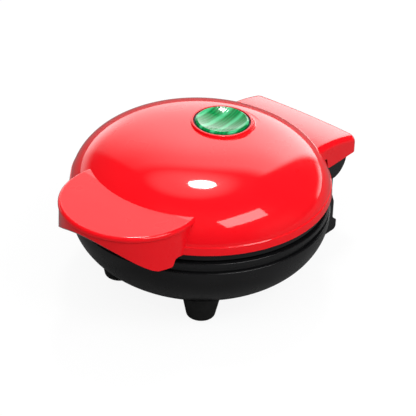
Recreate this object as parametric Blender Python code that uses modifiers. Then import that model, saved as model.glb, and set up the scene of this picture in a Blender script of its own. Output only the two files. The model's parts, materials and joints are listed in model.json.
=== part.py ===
# Mini waffle maker: a round base and a hinged round lid, each holding a cast waffle plate.
# Metres, +Z up. The table is z = 0, the handle points to -Y and the hinge lies at +Y.

import math

import bmesh
import bpy
from mathutils import Matrix, Vector

mm = 0.001
deg = math.radians(1.0)

# General clearances and cutting allowances
seat_gap = 0.3 * mm
running_gap = 0.06 * mm
overrun = 6.0 * mm
weld_distance = 0.001 * mm

# Heights of the stack, from the table upwards
bowl_clearance = 9.0 * mm
bowl_depth = 28.5 * mm
groove_height = 2.3 * mm
base_band_height = 2.6 * mm
parting_gap = 1.1 * mm
lid_band_height = 3.5 * mm

# Lid shell
lid_overhang = 1.8 * mm
lid_wall = 2.2 * mm
dome_inset = 0.4 * mm
dome_plan_share = 2.8
dome_rise_share = 2.05
rim_band_rise = 4.6 * mm
rim_bead_step = 0.4 * mm
rim_bead_rise = 0.5 * mm
rim_edge_round = 0.5 * mm

# Handle tab on the lid's front
handle_radius = 32.4 * mm
handle_setback = 10.0 * mm
handle_top = 15.5 * mm
handle_edge_round = 0.9 * mm
handle_wall = 2.0 * mm
handle_roof = 2.1 * mm
handle_hollow_round = 0.2 * mm
handle_tray_lift = 1.5 * mm
handle_tip_height = 5.0 * mm
handle_knee_reach = 14.0 * mm
handle_heel_reach = 7.0 * mm
handle_rim_reach = 5.4 * mm
handle_knee_drop = 3.4 * mm
handle_knee_round = 3.0 * mm

# Hinge hood on the lid's back
hood_half_width = 30.2 * mm
hood_wall = 1.7 * mm
hood_ear_room = 4.5 * mm
hood_lap = 5.0 * mm
hood_top = 7.9 * mm
hood_drop = 5.4 * mm
hood_drop_share = 1.6
hood_bow = 1.2 * mm
hood_round = 2.2 * mm
hood_flank_drop = 5.6 * mm
hood_back_drop = 4.2 * mm
hood_flank_round = 1.5 * mm

# Indicator on the dome
lens_center_share = 0.2295
lens_radius = 12.4 * mm
lens_crown = 0.8 * mm
lens_wall = 1.2 * mm
lens_crown_share = ((0.0, 0.0), (0.45, 0.2), (0.8, 0.6))
lens_depth = 6.0 * mm
bezel_wall = 0.4 * mm
bezel_flange = 2.2 * mm
bezel_flange_height = 1.2 * mm
collar_width = 1.2 * mm
collar_rise = 1.9 * mm
collar_flare = 3.4 * mm
collar_round = 0.4 * mm
collar_side_share = ((0.15, 0.62), (0.45, 1.0), (1.0, 1.4))
collar_root_share = 2.9
cup_height = 5.85 * mm
cup_wall = 1.6 * mm
lamp_radius = 2.4 * mm
lamp_length = 12.0 * mm
lamp_tip_share = ((0.0, 0.0), (0.6, 0.2), (1.0, 1.0))

# Hinge
hinge_setback = 6.3 * mm
hinge_drop = 1.75 * mm
ear_radius = 9.9 * mm
ear_width = 7.2 * mm
knuckle_radius = 6.0 * mm
knuckle_top_clearance = 0.7 * mm
pin_radius = 2.0 * mm

# Rings that carry the plates
base_ring_width = 9.2 * mm
lid_ring_width = 8.0 * mm
groove_depth = 1.0 * mm
lid_shoulder = 0.1 * mm
ring_web = 2.0 * mm
ring_wall = 2.0 * mm
ledge_depth = 2.3 * mm
ledge_reach = 2.3 * mm
lid_band_tuck = 2.2 * mm

# Waffle plates, measured away from the parting plane
plate_radius = 50.8 * mm
plate_face_gap = 0.4 * mm
plate_rim_depth = 4.6 * mm
plate_cavity_depth = 8.4 * mm
plate_thickness = 2.4 * mm
plate_rim_gap = 0.4 * mm
plate_wall = 2.0 * mm
plate_draft = 1.0 * mm
stud_pitch = 11.5 * mm
stud_foot = 8.6 * mm
stud_face = 6.2 * mm
stud_height = 5.0 * mm
stud_margin = 1.0 * mm
boss_margin = 7.5 * mm
plate_boss_radius = 3.4 * mm

# Heating elements and heat shields
element_radius = 3.0 * mm
element_margin = 16.5 * mm
element_leg_spread = 8.0 * mm
element_leg_length = 3.2 * mm
element_bend = 3.8 * mm
shield_sheet = 0.8 * mm
shield_flange = 2.3 * mm
shield_taper = 4.2 * mm

# Base shell
bowl_lap = 0.4 * mm
bowl_flank = 23.0 * mm
bowl_wall = 2.2 * mm
bowl_plan_share = 2.39
bowl_depth_share = 2.1
bowl_edge_round = 0.4 * mm
tower_lap = 6.8 * mm
tower_setback = 0.3 * mm
tower_bulge = 2.2 * mm
tower_bulge_top = 23.0 * mm
tower_bulge_low = 17.5 * mm
tower_foot_reach = 5.2 * mm
tower_foot_height = 5.0 * mm
tower_foot_slope = 2.5 * mm
tower_foot_round = 2.5 * mm
tower_wall = 2.0 * mm

# Feet
foot_inset = 0.3 * mm
foot_turn = 48.8 * deg
foot_top_radius = 9.5 * mm
foot_low_radius = 6.5 * mm
foot_edge_round = 1.6 * mm
foot_stem_radius = 2.3 * mm
foot_bulb_radius = 3.2 * mm
foot_bulb_height = 2.4 * mm
foot_seat_radius = 5.0 * mm
foot_seat_height = 5.0 * mm
rear_pad_inset = 9.9 * mm
rear_pad_radius = 5.0 * mm
rear_pad_proud = 0.8 * mm
rear_pad_depth = 0.7 * mm

# Fasteners
screw_count = 3
screw_shank = 1.6 * mm
screw_hole_gap = 0.3 * mm
screw_head = 2.9 * mm
screw_head_height = 1.8 * mm
screw_bite = 5.0 * mm
screw_end_room = 0.6 * mm
screw_boss_wall = 1.4 * mm
screw_crown_share = 0.7
housing_post_wall = 0.7 * mm
housing_screw_sink = 0.8 * mm
base_screw_sink = 1.2 * mm

# Electrical parts
thermostat_radius = 6.5 * mm
thermostat_height = 4.0 * mm
thermostat_cap_radius = 4.2 * mm
thermostat_cap_height = 2.4 * mm
thermostat_place_share = (0.22, -0.16)
fuse_radius = 2.0 * mm
fuse_length = 11.0 * mm
fuse_lead_radius = 0.5 * mm
fuse_lead_length = 4.0 * mm
fuse_place_share = (-0.26, -0.14)
terminal_size_x = 26.0 * mm
terminal_size_y = 9.0 * mm
terminal_size_z = 7.0 * mm
terminal_clamp_share = (-0.3, 0.0, 0.3)
terminal_round = 1.0 * mm
terminal_hole_radius = 1.5 * mm
gland_height = 13.1 * mm
gland_bore = 2.9 * mm
gland_wall = 1.0 * mm
gland_flange = 0.7 * mm
gland_flange_depth = 1.4 * mm
gland_reach = 4.0 * mm

# How finely round shapes are cut
shell_steps = 48
ring_steps = 40
shield_steps = 24
lens_steps = 20
foot_steps = 16
pin_steps = 24
small_steps = 12
screw_steps = 8
arc_steps = 3
dome_steps = 8
cavity_steps = 5
bowl_steps = 6
element_steps = 16

# Radii that follow from the plate
ring_bore = plate_radius + plate_rim_gap
ledge_bore = ring_bore - ledge_reach
body_radius = ledge_bore - plate_rim_gap
lid_band_radius = ring_bore + lid_ring_width
lid_radius = lid_band_radius + lid_overhang
dome_radius = lid_radius - dome_inset
base_band_radius = ring_bore + base_ring_width
bowl_radius = base_band_radius + bowl_lap
bowl_floor_radius = bowl_radius - bowl_flank
housing_screw_ring = (ring_bore + lid_band_radius) / 2
element_loop = body_radius - element_margin
boss_ring_radius = element_loop - boss_margin

# Places that follow
handle_center = lid_radius - handle_setback
lens_center = lens_center_share * lid_radius
hood_front = lid_radius - hood_lap
hinge_back = lid_radius + hinge_setback
hood_back = hinge_back + ear_radius + hood_wall + hood_ear_room
tower_front = bowl_radius - tower_lap
tower_back = hinge_back - tower_setback
tower_foot_back = tower_back + tower_foot_reach
foot_x = (bowl_floor_radius - foot_inset) * math.cos(foot_turn)
foot_y = (bowl_floor_radius - foot_inset) * math.sin(foot_turn)
element_leg_back = element_loop * math.cos(math.asin(element_leg_spread / element_loop)) + element_bend
terminal_back = min(
    element_leg_back - element_radius - 2 * seat_gap,
    math.sqrt((bowl_floor_radius - bowl_wall) ** 2 - (terminal_size_x / 2) ** 2) - seat_gap,
)
ear_outer = hood_half_width - hood_wall - 2 * seat_gap
ear_inner = ear_outer - ear_width
knuckle_half_width = ear_inner - 2 * seat_gap
rear_pad_x = ear_outer - rear_pad_inset

# Heights that follow
bowl_top = bowl_clearance + bowl_depth
base_band_low = bowl_top + groove_height
base_band_top = base_band_low + base_band_height
parting_plane = base_band_top + parting_gap / 2
lid_band_low = base_band_top + parting_gap
rim_low = lid_band_low + lid_band_height
hinge_height = parting_plane - hinge_drop
ledge_near = plate_face_gap / 2 + plate_rim_depth + seat_gap
ledge_far = ledge_near + ledge_depth
cavity_floor = plate_face_gap / 2 + plate_cavity_depth
plate_back = cavity_floor + plate_thickness
element_center = plate_back + seat_gap + element_radius
shield_near = element_center + element_radius + seat_gap
shield_far = shield_near + shield_sheet
shield_rim = ledge_far + seat_gap
cup_low = parting_plane + shield_far + seat_gap
bezel_low = cup_low + cup_height + seat_gap
lens_low = bezel_low + bezel_flange_height + seat_gap
lens_edge = lens_low + lens_depth
lens_top = lens_edge + lens_crown
dome_top = lens_top - collar_rise
housing_post_top = parting_plane + ledge_far
lid_pocket_top = housing_post_top + seat_gap / 2
lid_boss_low = housing_post_top + seat_gap
dome_rise = dome_top - rim_low

parts = bpy.data.collections.new("mini_waffle_maker")
cutters = bpy.data.collections.new("cutters")


def clear_scene():
    for item in list(bpy.data.objects):
        bpy.data.objects.remove(item, do_unlink=True)
    bpy.context.scene.collection.children.link(parts)
    bpy.context.scene.collection.children.link(cutters)


def finish(name, color, roughness, metallic=0.0, transmission=0.0):
    made = bpy.data.materials.new(name)
    made.use_nodes = True
    shader = made.node_tree.nodes["Principled BSDF"]
    shader.inputs["Base Color"].default_value = (*color, 1.0)
    shader.inputs["Roughness"].default_value = roughness
    shader.inputs["Metallic"].default_value = metallic
    shader.inputs["Transmission Weight"].default_value = transmission
    return made


def place(name, mesh, look):
    item = bpy.data.objects.new(name, mesh)
    parts.objects.link(item)
    if look:
        mesh.materials.append(look)
    return item


def as_cutter(item):
    parts.objects.unlink(item)
    cutters.objects.link(item)
    item.hide_render = True
    item.display_type = "WIRE"
    return item


def combine(target, other, operation):
    modifier = target.modifiers.new(operation.lower(), "BOOLEAN")
    modifier.operation = operation
    modifier.solver = "EXACT"
    modifier.object = as_cutter(other)
    return target


def merge_flats(item):
    """Joins neighbouring faces that lie in one plane."""
    flats = item.modifiers.new("flats", "DECIMATE")
    flats.decimate_type = "DISSOLVE"
    flats.angle_limit = 0.2 * deg
    return item


def turned(name, profile, look, at=(0.0, 0.0), steps=ring_steps):
    """A profile of (radius, height) points, down its outer side, turned about a vertical axis."""
    mesh = bpy.data.meshes.new(name)
    points = [(radius, 0.0, height) for radius, height in profile]
    edges = [(i, i + 1) for i in range(len(points) - 1)]
    if profile[0][0] > 0.0:
        edges.append((len(points) - 1, 0))
    mesh.from_pydata(points, edges, [])
    item = place(name, mesh, look)
    item.location = (*at, 0.0)
    turn = item.modifiers.new("turn", "SCREW")
    turn.axis = "Z"
    turn.steps = steps
    turn.render_steps = steps
    turn.use_merge_vertices = True
    turn.merge_threshold = weld_distance
    return merge_flats(item)


def rods(name, places, radius, low, high, look=None, steps=small_steps, along="Z"):
    """Cylinders of one size at several places, in one mesh. Along X the places are (y, z)."""
    shape = bmesh.new()
    for first, second in places:
        if along == "Z":
            stand = Matrix.Translation((first, second, (low + high) / 2))
        elif along == "X":
            stand = Matrix.Translation(((low + high) / 2, first, second)) @ Matrix.Rotation(90 * deg, 4, "Y")
        else:
            stand = Matrix.Translation((first, (low + high) / 2, second)) @ Matrix.Rotation(90 * deg, 4, "X")
        bmesh.ops.create_cone(
            shape,
            cap_ends=True,
            segments=steps,
            radius1=radius,
            radius2=radius,
            depth=high - low,
            matrix=stand,
        )
    mesh = bpy.data.meshes.new(name)
    shape.to_mesh(mesh)
    shape.free()
    return place(name, mesh, look)


def block(name, low, high, look=None):
    shape = bmesh.new()
    middle = (Vector(low) + Vector(high)) / 2
    size = Vector(high) - Vector(low)
    bmesh.ops.create_cube(shape, size=1.0, matrix=Matrix.Translation(middle) @ Matrix.Diagonal((*size, 1.0)))
    mesh = bpy.data.meshes.new(name)
    shape.to_mesh(mesh)
    shape.free()
    return place(name, mesh, look)


def solid_from_curve(item):
    """A closed mesh in place of a curve object, with its caps welded on."""
    seen = item.evaluated_get(bpy.context.evaluated_depsgraph_get())
    mesh = bpy.data.meshes.new_from_object(seen)
    shape = bmesh.new()
    shape.from_mesh(mesh)
    bmesh.ops.remove_doubles(shape, verts=shape.verts, dist=weld_distance)
    bmesh.ops.recalc_face_normals(shape, faces=shape.faces)
    shape.to_mesh(mesh)
    shape.free()
    made = bpy.data.objects.new(item.name + "_solid", mesh)
    made.matrix_world = item.matrix_world
    parts.objects.link(made)
    bpy.data.objects.remove(item, do_unlink=True)
    return made


def side_slab(name, outline, low, high):
    """An outline of (y, z) points, extruded along X from low to high."""
    curve = bpy.data.curves.new(name, "CURVE")
    curve.dimensions = "2D"
    curve.fill_mode = "BOTH"
    curve.extrude = (high - low) / 2
    spline = curve.splines.new("POLY")
    spline.points.add(len(outline) - 1)
    for point, (y, z) in zip(spline.points, outline):
        point.co = (y, z, 0.0, 1.0)
    spline.use_cyclic_u = True
    item = bpy.data.objects.new(name, curve)
    cutters.objects.link(item)
    item.matrix_world = Matrix(
        ((0, 0, 1, (low + high) / 2), (1, 0, 0, 0), (0, 1, 0, 0), (0, 0, 0, 1))
    )
    bpy.context.view_layer.update()
    return solid_from_curve(item)


def rounded(corners):
    """Corners of (y, z, radius), each with a radius above zero turned into an arc."""
    outline = []
    for i, (y, z, radius) in enumerate(corners):
        here = Vector((y, z))
        if radius <= 0.0:
            outline.append((y, z))
            continue
        before = Vector(corners[i - 1][:2]) - here
        after = Vector(corners[(i + 1) % len(corners)][:2]) - here
        half = before.angle(after) / 2
        center = here + (before.normalized() + after.normalized()).normalized() * (radius / math.sin(half))
        start = here + before.normalized() * (radius / math.tan(half)) - center
        end = here + after.normalized() * (radius / math.tan(half)) - center
        for step in range(arc_steps + 1):
            blend = start.lerp(end, step / arc_steps).normalized() * radius
            outline.append(tuple(center + blend))
    return outline


def tube(name, path, radius, look):
    curve = bpy.data.curves.new(name, "CURVE")
    curve.dimensions = "3D"
    curve.bevel_depth = radius
    curve.bevel_resolution = 2
    curve.use_fill_caps = True
    spline = curve.splines.new("POLY")
    spline.points.add(len(path) - 1)
    for point, place_at in zip(spline.points, path):
        point.co = (*place_at, 1.0)
    curve.materials.append(look)
    item = bpy.data.objects.new(name, curve)
    parts.objects.link(item)
    return item


def around(radius, count=screw_count):
    """Places evenly round the dome's axis, the first one at the front."""
    turns = [360 * deg * i / count - 90 * deg for i in range(count)]
    return [(radius * math.cos(turn), radius * math.sin(turn)) for turn in turns]


def stacked(profile, side):
    """Points of (radius, distance from the parting plane), above it for side 1 and below for side -1."""
    points = [(radius, parting_plane + side * distance) for radius, distance in profile]
    return points if side > 0 else points[::-1]


def dome_outline(radius, rise, low, steps, lowest=0.0):
    """The dome's section from its top down to a height above the rim."""
    last = math.asin((lowest / rise) ** (dome_rise_share / 2))
    outline = []
    for step in range(steps + 1):
        turn = 90 * deg + (last - 90 * deg) * step / steps
        outline.append(
            (
                radius * max(math.cos(turn), 0.0) ** (2 / dome_plan_share) if step else 0.0,
                low + rise * math.sin(turn) ** (2 / dome_rise_share),
            )
        )
    return outline


def bowl_outline(radius, floor_radius, top, floor, steps):
    """The bowl's section from its top edge down to the edge of its flat floor."""
    reach = (1 - (floor_radius / radius) ** bowl_plan_share) ** (1 / bowl_depth_share)
    full_depth = (top - floor) / reach
    last = math.asin(reach ** (bowl_depth_share / 2))
    outline = []
    for step in range(steps + 1):
        turn = last * step / steps
        outline.append(
            (
                radius * math.cos(turn) ** (2 / bowl_plan_share),
                top - full_depth * math.sin(turn) ** (2 / bowl_depth_share),
            )
        )
    return outline


def hood_loft(name, half_width, front, back, drop, low, corner):
    """The hood's rounded box: its sections shrink at the back, and its back edge is bowed."""
    sections = []
    stations_share = (0.0, 0.22, 0.45, 0.65, 0.82, 0.94)
    stops = [(front + (back - corner - front) * share, 0.0) for share in stations_share]
    stops += [(back - corner * (1 - math.sin(turn)), corner * (1 - math.cos(turn))) for turn in (0, 45 * deg, 80 * deg)]
    for y, inset in stops:
        fall = hood_drop * (max(y - hood_front, 0.0) / (hood_back - hood_front)) ** hood_drop_share
        top = rim_low + hood_top - fall - drop - inset
        wide = half_width - inset
        ridge = []
        for step in range(arc_steps + 1):
            turn = 90 * deg * step / arc_steps
            ridge.append((-wide + corner * (1 - math.cos(turn)), top - corner * (1 - math.sin(turn))))
        ridge.append(((corner - wide) / 2, top))
        ridge += [(0.0, top)] + [(-x, z) for x, z in ridge[::-1]]
        bow = hood_bow * (y - front) / (back - front)
        section = ridge + [(x, low) for x, z in ridge[::-1]]
        sections.append([(x, y - bow * (x / half_width) ** 2, z) for x, z in section])
    count = len(sections[0])
    shape = bmesh.new()
    rows = [[shape.verts.new(point) for point in section] for section in sections]
    for row, following in zip(rows, rows[1:]):
        for i in range(count):
            j = (i + 1) % count
            shape.faces.new((row[i], row[j], following[j], following[i]))
    for row in (rows[0], rows[-1]):
        for i in range(count // 2 - 1):
            shape.faces.new((row[i], row[i + 1], row[-i - 2], row[-i - 1]))
    bmesh.ops.recalc_face_normals(shape, faces=shape.faces)
    mesh = bpy.data.meshes.new(name)
    shape.to_mesh(mesh)
    shape.free()
    return place(name, mesh, None)


def handle_underside(y):
    """Height of the sloping lower edge of the handle's skirt."""
    tip = rim_low + handle_top - handle_tip_height
    knee = rim_low - handle_knee_drop
    slope = (tip - knee) / (handle_radius - handle_knee_reach)
    return knee + slope * (-y - handle_center - handle_knee_reach)


def handle_disc(name, radius, top, edge):
    profile = [
        (0.0, top),
        (radius - edge, top),
        (radius - edge * (1 - math.sin(45 * deg)), top - edge * (1 - math.sin(45 * deg))),
        (radius, top - edge),
        (radius, hinge_height - overrun),
        (0.0, hinge_height - overrun),
    ]
    return turned(name, profile, None, (0.0, -handle_center), shell_steps)


def build_lid_shell(look):
    outline = dome_outline(dome_radius, dome_rise, rim_low, dome_steps, rim_band_rise)
    crease = outline[-1][0]
    outline += [
        (crease + rim_bead_step, rim_low + rim_band_rise - rim_bead_rise),
        (lid_radius, rim_low + rim_edge_round),
        (lid_radius - rim_edge_round, rim_low),
        (0.0, rim_low),
    ]
    shell = turned("lid_shell", outline, look, steps=shell_steps)

    handle = handle_disc("handle_form", handle_radius, rim_low + handle_top, handle_edge_round)
    tip = -handle_center - handle_radius - overrun
    knee_height = rim_low - handle_knee_drop
    side = [
        (tip, handle_underside(tip), 0.0),
        (-handle_center - handle_knee_reach, knee_height, handle_knee_round),
        (-handle_center - handle_heel_reach, knee_height, handle_knee_round / 2),
        (-handle_center - handle_rim_reach, rim_low + rim_edge_round, handle_knee_round / 2),
        (-handle_center + handle_radius, rim_low + rim_edge_round, 0.0),
        (-handle_center + handle_radius, dome_top, 0.0),
        (tip, dome_top, 0.0),
    ]
    combine(handle, side_slab("handle_side", rounded(side), -lid_radius, lid_radius), "INTERSECT")
    combine(shell, handle, "UNION")

    hood = hood_loft("hood_form", hood_half_width, hood_front - 2 * overrun, hood_back, 0.0, bowl_top, hood_round)
    flank_low = rim_low - hood_flank_drop
    side = [
        (0.0, rim_low + rim_edge_round, 0.0),
        (hood_front + hood_flank_round, rim_low + rim_edge_round, hood_flank_round),
        (hood_front + 2 * hood_flank_round, flank_low, hood_flank_round),
        (hood_back - hood_round / 2, flank_low, hood_round),
        (hood_back + hood_round / 2, flank_low + hood_round, 0.0),
        (hood_back + overrun, dome_top, 0.0),
        (0.0, dome_top, 0.0),
    ]
    combine(hood, side_slab("hood_side", rounded(side), -lid_radius, lid_radius), "INTERSECT")
    combine(shell, hood, "UNION")

    outer = lens_radius + bezel_wall + seat_gap + collar_width
    root = lens_edge - collar_root_share * collar_rise
    collar = [
        (0.0, lens_edge),
        (outer - collar_round, lens_edge),
        (outer, lens_edge - collar_round),
        *[(outer + out * collar_flare, lens_edge - down * collar_rise) for out, down in collar_side_share],
        (outer + collar_flare, root),
        (0.0, root),
    ]
    combine(shell, turned("collar_form", collar, None, (0.0, lens_center), lens_steps), "UNION")

    cavity_outline = dome_outline(
        dome_radius - lid_wall, dome_rise - lid_wall, rim_low, cavity_steps, lid_pocket_top - rim_low
    )
    cavity_outline += [
        (lid_band_radius + seat_gap, lid_pocket_top),
        (lid_band_radius + seat_gap, rim_low - overrun),
        (0.0, rim_low - overrun),
    ]
    cavity = turned("lid_cavity", cavity_outline, None, steps=shell_steps)
    scoop = handle_disc("handle_hollow", handle_radius - handle_wall, rim_low + handle_top - handle_roof, handle_hollow_round)
    combine(cavity, scoop, "UNION")
    hollow = hood_loft(
        "hood_hollow",
        hood_half_width - hood_wall,
        hood_front - 2 * overrun,
        hood_back - hood_wall,
        hood_wall,
        bowl_top - overrun,
        hood_round / 2,
    )
    combine(cavity, hollow, "UNION")
    boss_radius = screw_shank + screw_hole_gap + screw_boss_wall
    bosses = rods("lid_bosses", around(housing_screw_ring), boss_radius, lid_boss_low, dome_top)
    combine(cavity, bosses, "DIFFERENCE")
    combine(shell, cavity, "DIFFERENCE")

    back_gate = block(
        "hood_back_gate",
        (-hood_half_width + hood_round, hinge_back, hinge_height - 2 * overrun),
        (hood_half_width - hood_round, hood_back + overrun, rim_low - hood_back_drop),
    )
    combine(shell, back_gate, "DIFFERENCE")
    hole_top = lid_boss_low + screw_bite + screw_end_room
    holes = rods(
        "lid_boss_holes",
        around(housing_screw_ring),
        screw_shank + screw_hole_gap,
        lid_boss_low - overrun,
        hole_top,
        steps=screw_steps,
    )
    combine(shell, holes, "DIFFERENCE")
    opening = rods(
        "lens_opening",
        [(0.0, lens_center)],
        lens_radius + bezel_wall + 2 * seat_gap,
        dome_top - 2 * overrun,
        dome_top + overrun,
        steps=lens_steps,
    )
    combine(shell, opening, "DIFFERENCE")


def build_indicator(looks):
    lens = [
        *[(out * lens_radius, lens_top - down * lens_crown) for out, down in lens_crown_share],
        (lens_radius, lens_edge),
        (lens_radius, lens_low),
        (lens_radius - lens_wall, lens_low),
        (lens_radius - lens_wall, lens_top - 2 * lens_wall),
        (0.0, lens_top - 2 * lens_wall),
    ]
    turned("indicator_lens", lens, looks["green"], (0.0, lens_center), lens_steps)

    inner = lens_radius + seat_gap
    outer = inner + bezel_wall
    shelf = lens_low - seat_gap
    flange_top = lens_low - bezel_flange_height / 2
    bezel = [
        (inner, lens_edge - seat_gap),
        (outer, lens_edge - seat_gap),
        (outer, flange_top),
        (outer + bezel_flange, flange_top),
        (outer + bezel_flange, bezel_low),
        (lens_radius - 2 * lens_wall, bezel_low),
        (lens_radius - 2 * lens_wall, shelf),
        (inner, shelf),
    ]
    turned("lens_bezel", bezel, looks["black"], (0.0, lens_center), lens_steps)

    cup_top = cup_low + cup_height
    cup_radius = lens_radius - lens_wall
    cup = [
        (0.0, cup_low + cup_wall),
        (cup_radius - cup_wall, cup_low + cup_wall),
        (cup_radius - cup_wall, cup_top),
        (cup_radius, cup_top),
        (cup_radius, cup_low),
        (0.0, cup_low),
    ]
    turned("lamp_cup", cup, looks["black"], (0.0, lens_center), lens_steps)

    lamp = [
        *[(out * lamp_radius, lamp_length / 2 - down * lamp_radius) for out, down in lamp_tip_share],
        (lamp_radius, -lamp_length / 2),
        (0.0, -lamp_length / 2),
    ]
    bulb = turned("indicator_lamp", lamp, looks["glass"], (0.0, lens_center), screw_steps)
    bulb.location.z = cup_low + cup_wall + seat_gap + lamp_radius
    bulb.rotation_euler = (0.0, 90 * deg, 0.0)


def ring_profile(band_radius, band_height, groove, tuck, channel_out):
    """Section of the ring that carries a plate: band, web, channel and the ledge behind the plate's rim."""
    face = parting_gap / 2
    shoulder = face + band_height
    neck = band_radius - groove
    channel_in = ring_bore + ring_wall
    return [
        (ledge_bore, ledge_far),
        (channel_in, ledge_far),
        (channel_in, face + ring_web),
        (channel_out, face + ring_web),
        (channel_out, shoulder + tuck),
        (neck, shoulder + tuck),
        (neck, shoulder),
        (band_radius, shoulder - groove / 4),
        (band_radius, face),
        (ring_bore, face),
        (ring_bore, ledge_near),
        (ledge_bore, ledge_near),
    ]


def build_lid_housing(look):
    shoulder = lid_band_radius - lid_shoulder
    section = ring_profile(lid_band_radius, lid_band_height, lid_shoulder, lid_band_tuck, shoulder - ring_wall)
    ring = turned("lid_inner_housing", stacked(section, 1), look, steps=ring_steps)

    reach = handle_radius - handle_wall - seat_gap
    tip = -handle_center - reach - overrun
    knee = -handle_center - handle_knee_reach
    low = [(tip, handle_underside(tip)), (knee, handle_underside(knee)), (0.0, handle_underside(knee))]
    low = [(y, z + handle_tray_lift) for y, z in low]
    high = [(y, z + ring_web) for y, z in low[::-1]]
    tray = handle_disc("handle_tray", reach, rim_low + handle_top - handle_roof - seat_gap, handle_hollow_round)
    combine(tray, side_slab("handle_tray_side", low + high, -lid_radius, lid_radius), "INTERSECT")
    inner_edge = ring_bore + 2 * ring_wall
    combine(tray, rods("tray_trim", [(0.0, 0.0)], inner_edge, 0.0, dome_top, steps=ring_steps), "DIFFERENCE")
    combine(ring, tray, "UNION")

    knuckle = rods(
        "hinge_knuckle", [(hinge_back, hinge_height)], knuckle_radius, -knuckle_half_width, knuckle_half_width, along="X"
    )
    combine(ring, knuckle, "UNION")
    arm = block(
        "hinge_arm",
        (-knuckle_half_width, inner_edge, lid_band_low),
        (knuckle_half_width, hinge_back, hinge_height + knuckle_radius - seat_gap),
    )
    combine(ring, arm, "UNION")
    bore = rods(
        "knuckle_bore",
        [(hinge_back, hinge_height)],
        pin_radius + running_gap,
        -lid_radius,
        lid_radius,
        along="X",
        steps=pin_steps,
    )
    combine(ring, bore, "DIFFERENCE")

    step_top = rim_low + lid_band_tuck - 2 * seat_gap
    bore = screw_shank + screw_hole_gap
    sink = screw_head + screw_hole_gap
    post = [
        (0.0, housing_post_top),
        (bore + housing_post_wall, housing_post_top),
        (bore + housing_post_wall, step_top),
        (sink + housing_post_wall, step_top),
        (sink + housing_post_wall, lid_band_low + seat_gap),
        (0.0, lid_band_low + seat_gap),
    ]
    for i, at in enumerate(around(housing_screw_ring), 1):
        combine(ring, turned(f"housing_post_{i}", post, None, at, small_steps), "UNION")
    sink_top = lid_band_low + housing_screw_sink + screw_head_height
    high, low = housing_post_top + overrun, lid_band_low - overrun
    stepped = [(0.0, high), (bore, high), (bore, sink_top), (sink, sink_top), (sink, low), (0.0, low)]
    for i, at in enumerate(around(housing_screw_ring), 1):
        combine(ring, turned(f"housing_screw_bore_{i}", stepped, None, at, screw_steps), "DIFFERENCE")


def build_base_ring(look):
    tuck = groove_height + bowl_wall
    inner = bowl_radius - bowl_wall - 3 * seat_gap
    section = ring_profile(base_band_radius, base_band_height, groove_depth, tuck, inner - ring_wall)
    ring = turned("base_rim_ring", stacked(section, -1), look, steps=ring_steps)
    step = [
        (inner, bowl_top + seat_gap),
        (bowl_radius + overrun, bowl_top + seat_gap),
        (bowl_radius + overrun, bowl_clearance),
        (inner, bowl_clearance),
    ]
    combine(ring, turned("bowl_step", step, None, steps=ring_steps), "DIFFERENCE")
    for name, low, high in (("left", -ear_outer, -ear_inner), ("right", ear_inner, ear_outer)):
        room = rods(
            "ear_room_" + name,
            [(hinge_back, hinge_height)],
            ear_radius + seat_gap,
            low - seat_gap,
            high + seat_gap,
            along="X",
            steps=ring_steps,
        )
        combine(ring, room, "DIFFERENCE")


def build_plate(name, side, look):
    face = plate_face_gap / 2
    mouth = body_radius - plate_wall + plate_draft
    floor_radius = body_radius - plate_wall
    section = [
        (0.0, plate_back),
        (body_radius, plate_back),
        (body_radius, face + plate_rim_depth),
        (plate_radius, face + plate_rim_depth),
        (plate_radius, face),
        (mouth, face),
        (floor_radius, cavity_floor),
        (0.0, cavity_floor),
    ]
    plate = turned(name, stacked(section, side), look, steps=ring_steps)

    floor = parting_plane + side * (cavity_floor + plate_thickness / 2)
    tip = parting_plane + side * (cavity_floor - stud_height)
    reach = floor_radius - stud_margin
    count = math.floor(reach / stud_pitch)
    shape = bmesh.new()
    for i in range(-count, count + 1):
        for j in range(-count, count + 1):
            x, y = i * stud_pitch, j * stud_pitch
            if math.hypot(x, y) > reach - stud_face / 4:
                continue
            turn = Matrix.Rotation(0.0 if side < 0 else 180 * deg, 4, "X")
            bmesh.ops.create_cone(
                shape,
                cap_ends=True,
                segments=4,
                radius1=stud_foot / math.sqrt(2),
                radius2=stud_face / math.sqrt(2),
                depth=abs(tip - floor),
                matrix=Matrix.Translation((x, y, (tip + floor) / 2)) @ turn @ Matrix.Rotation(45 * deg, 4, "Z"),
            )
    mesh = bpy.data.meshes.new(name + "_studs")
    shape.to_mesh(mesh)
    shape.free()
    studs = place(name + "_studs", mesh, None)
    trim = rods(name + "_stud_trim", [(0.0, 0.0)], reach, 0.0, dome_top, steps=ring_steps)
    combine(studs, trim, "INTERSECT")
    combine(plate, studs, "UNION")

    back = plate_back - plate_thickness / 2
    boss_end = shield_near - seat_gap
    ends = sorted((parting_plane + side * back, parting_plane + side * boss_end))
    combine(plate, rods(name + "_bosses", around(boss_ring_radius), plate_boss_radius, *ends), "UNION")
    ends = sorted((parting_plane + side * (plate_back - seat_gap), parting_plane + side * (boss_end + overrun)))
    holes = rods(name + "_holes", around(boss_ring_radius), screw_shank + screw_hole_gap, *ends, steps=screw_steps)
    combine(plate, holes, "DIFFERENCE")


def build_element(name, side, look):
    level = parting_plane + side * element_center
    opening = math.asin(element_leg_spread / element_loop)
    path = []
    leg_start = element_loop * math.cos(opening)
    bend = element_bend
    for turn in (90 * deg, 60 * deg, 30 * deg):
        rise = bend * (1 - math.cos(turn))
        run = bend * math.sin(turn)
        path.append((element_leg_spread, leg_start + run, level + side * rise))
    path.insert(0, (element_leg_spread, leg_start + bend, level + side * (bend + element_leg_length)))
    for step in range(element_steps + 1):
        turn = 90 * deg - opening - (360 * deg - 2 * opening) * step / element_steps
        path.append((element_loop * math.cos(turn), element_loop * math.sin(turn), level))
    path += [(-x, y, z) for x, y, z in path[:4][::-1]]
    tube(name, path, element_radius, look)


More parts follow.
